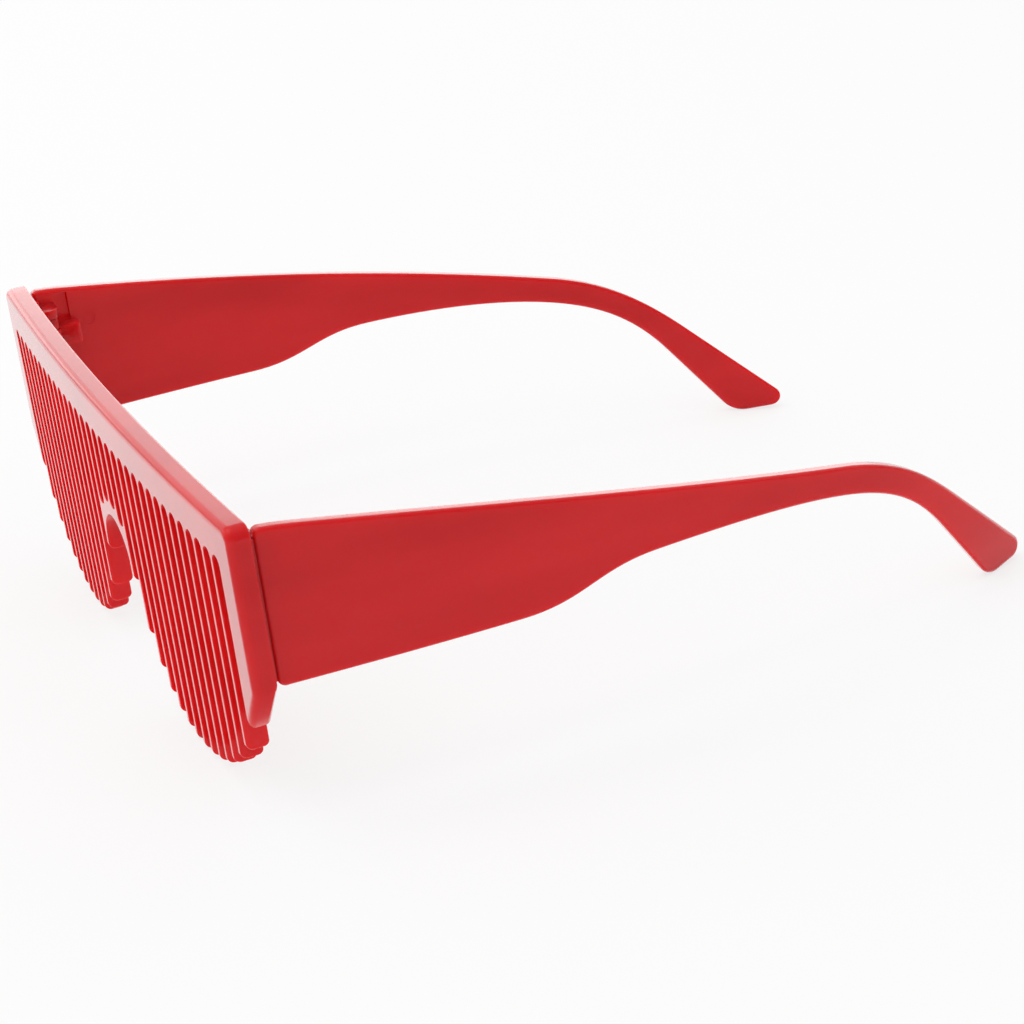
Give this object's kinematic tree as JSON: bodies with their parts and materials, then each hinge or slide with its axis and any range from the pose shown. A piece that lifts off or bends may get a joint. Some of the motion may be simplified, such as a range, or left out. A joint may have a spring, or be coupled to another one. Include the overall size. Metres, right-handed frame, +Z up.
{
  "type": "party glasses",
  "caption": "Flat-top party glasses: a curved front of thin hanging slats with an arched nose gap, and broad folding temples that taper to curved tips.",
  "frame": {"origin": "centre of the open glasses' bounding box, on the table that the slats and the temple tips rest on", "axes": "+Y from the front back to the temple tips, +Z up, +X towards the wearer's left"},
  "size_m": [0.1458, 0.162, 0.0546],
  "materials": {
    "red_plastic": "moulded gloss red",
    "steel": "drawn wire"
  },
  "bodies": {
    "front": {"front_frame": "red_plastic"},
    "temple_left": {"temple_left": "red_plastic", "hinge_pin_left": "steel"},
    "temple_right": {"temple_right": "red_plastic", "hinge_pin_right": "steel"}
  },
  "joints": [
    {"name": "hinge_left", "type": "hinge", "parent": "front", "child": "temple_left", "pos_m": [0.0666, -0.072, 0.04569], "axis": [0, -0.0384, 0.9993], "range_deg": [0, 85]},
    {"name": "hinge_right", "type": "hinge", "parent": "front", "child": "temple_right", "pos_m": [-0.0666, -0.072, 0.04569], "axis": [0, 0.0384, -0.9993], "range_deg": [0, 80]}
  ]
}
